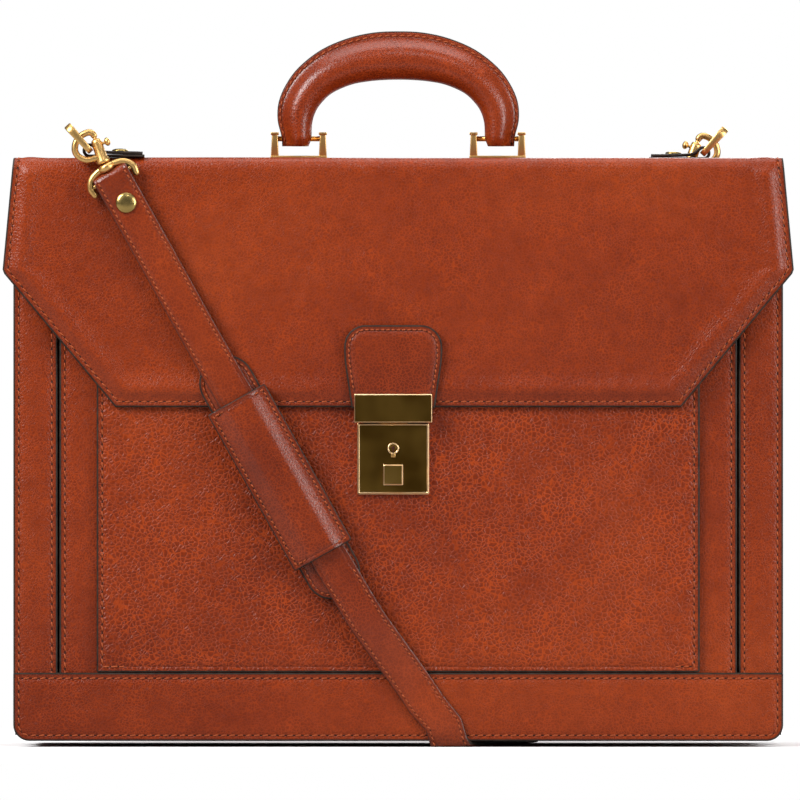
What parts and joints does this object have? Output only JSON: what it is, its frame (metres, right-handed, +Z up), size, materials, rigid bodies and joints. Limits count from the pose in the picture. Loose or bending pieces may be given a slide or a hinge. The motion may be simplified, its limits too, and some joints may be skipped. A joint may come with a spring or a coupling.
{
  "type": "leather briefcase",
  "caption": "Flap-over leather briefcase with press lock, hinged top handle, pleated compartments and a hooked shoulder strap wrapped round it.",
  "frame": {"origin": "on the floor, under the middle of the bag's box", "axes": "+Z up, front with the lock towards -Y, +X along the bag's width"},
  "size_m": [0.441, 0.1584, 0.3996],
  "materials": {
    "leather": "semi-gloss cognac hide",
    "dark_leather": "satin",
    "brass": "polished",
    "lining": "matt suede",
    "steel": "plated"
  },
  "bodies": {
    "root": {"back_panel": "leather", "top_rear_rim": "leather", "bottom_board": "leather", "bottom_band": "leather", "slip_pocket_panel": "leather", "pocket_front_panel": "leather", "side_strip_left": "leather", "side_strip_right": "leather", "main_front_panel": "leather", "middle_divider": "lining", "gusset_left": "leather", "gusset_right": "leather", "pocket_gusset_left": "leather", "pocket_gusset_right": "leather", "lock_plate": "brass", "lock_case": "steel", "strap_under_run": "leather", "strap_back_run": "leather", "strap_rivet_right": "brass", "chape_right": "dark_leather", "chape_rivet_right": "brass", "bail_right": "brass", "bail_pin_right": "brass"},
    "flap": {"flap_top": "leather", "flap_front": "leather", "lock_tab": "leather", "hasp": "brass", "handle_bar": "steel", "handle_bracket_left": "brass", "handle_bracket_right": "brass", "handle_pin_left": "brass", "handle_pin_right": "brass", "chape_left": "dark_leather", "chape_rivet_left": "brass", "bail_left": "brass", "bail_pin_left": "brass", "strap_front_run": "leather", "strap_rivet_left": "brass", "pad_base": "leather", "pad_sleeve": "leather"},
    "handle": {"handle_grip": "leather"},
    "button": {"lock_button": "brass"},
    "catch": {"lock_catch": "steel"},
    "key_plug": {"key_plug": "brass"},
    "ring_left": {"ring_left": "brass"},
    "ring_right": {"ring_right": "brass"},
    "hook_left": {"hook_left": "brass"},
    "hook_right": {"hook_right": "brass"},
    "trigger_left": {"trigger_left": "brass"},
    "trigger_right": {"trigger_right": "brass"}
  },
  "joints": [
    {"name": "flap_lift", "type": "hinge", "parent": "root", "child": "flap", "pos_m": [0, 0.03, 0.328], "axis": [-1, 0, 0], "range_deg": [0, 100], "deforming": ["strap_front_run", "pad_base", "pad_sleeve"]},
    {"name": "handle_swing", "type": "hinge", "parent": "flap", "child": "handle", "pos_m": [0, 0, 0.3394], "axis": [1, 0, 0], "range_deg": [-65, 65]},
    {"name": "lock_press", "type": "slide", "parent": "root", "child": "button", "axis": [0, 1, 0], "range_m": [0, 0.002], "stiffness_N_per_m": 400},
    {"name": "catch_drop", "type": "slide", "parent": "root", "child": "catch", "axis": [0, 0, -1], "range_m": [0, 0.0025]},
    {"name": "key_turn", "type": "hinge", "parent": "root", "child": "key_plug", "pos_m": [-0.0028, -0.0676, 0.166], "axis": [0, 1, 0], "range_deg": [0, 90]},
    {"name": "ring_swing_left", "type": "hinge", "parent": "flap", "child": "ring_left", "pos_m": [-0.172, -0.0602, 0.3321], "axis": [0, 1, 0], "range_deg": [-4, 4]},
    {"name": "hook_swivel_left", "type": "hinge", "parent": "flap", "child": "hook_left", "pos_m": [-0.1638, -0.0734, 0.3249], "axis": [-0.342, 0, 0.9397], "range_deg": [-7, 7]},
    {"name": "trigger_pull_left", "type": "slide", "parent": "hook_left", "child": "trigger_left", "axis": [0.342, 0, -0.9397], "range_m": [0, 0.005], "stiffness_N_per_m": 300},
    {"name": "ring_swing_right", "type": "hinge", "parent": "root", "child": "ring_right", "pos_m": [0.172, 0.0602, 0.3321], "axis": [0, 1, 0], "range_deg": [-4, 4]},
    {"name": "hook_swivel_right", "type": "hinge", "parent": "root", "child": "hook_right", "pos_m": [0.1638, 0.0734, 0.3249], "axis": [0.342, 0, 0.9397], "range_deg": [-7, 7]},
    {"name": "trigger_pull_right", "type": "slide", "parent": "hook_right", "child": "trigger_right", "axis": [-0.342, 0, -0.9397], "range_m": [0, 0.005], "stiffness_N_per_m": 300}
  ],
  "couplings": [
    {"joint": "catch_drop", "follows": "lock_press", "ratio": 1.25}
  ]
}
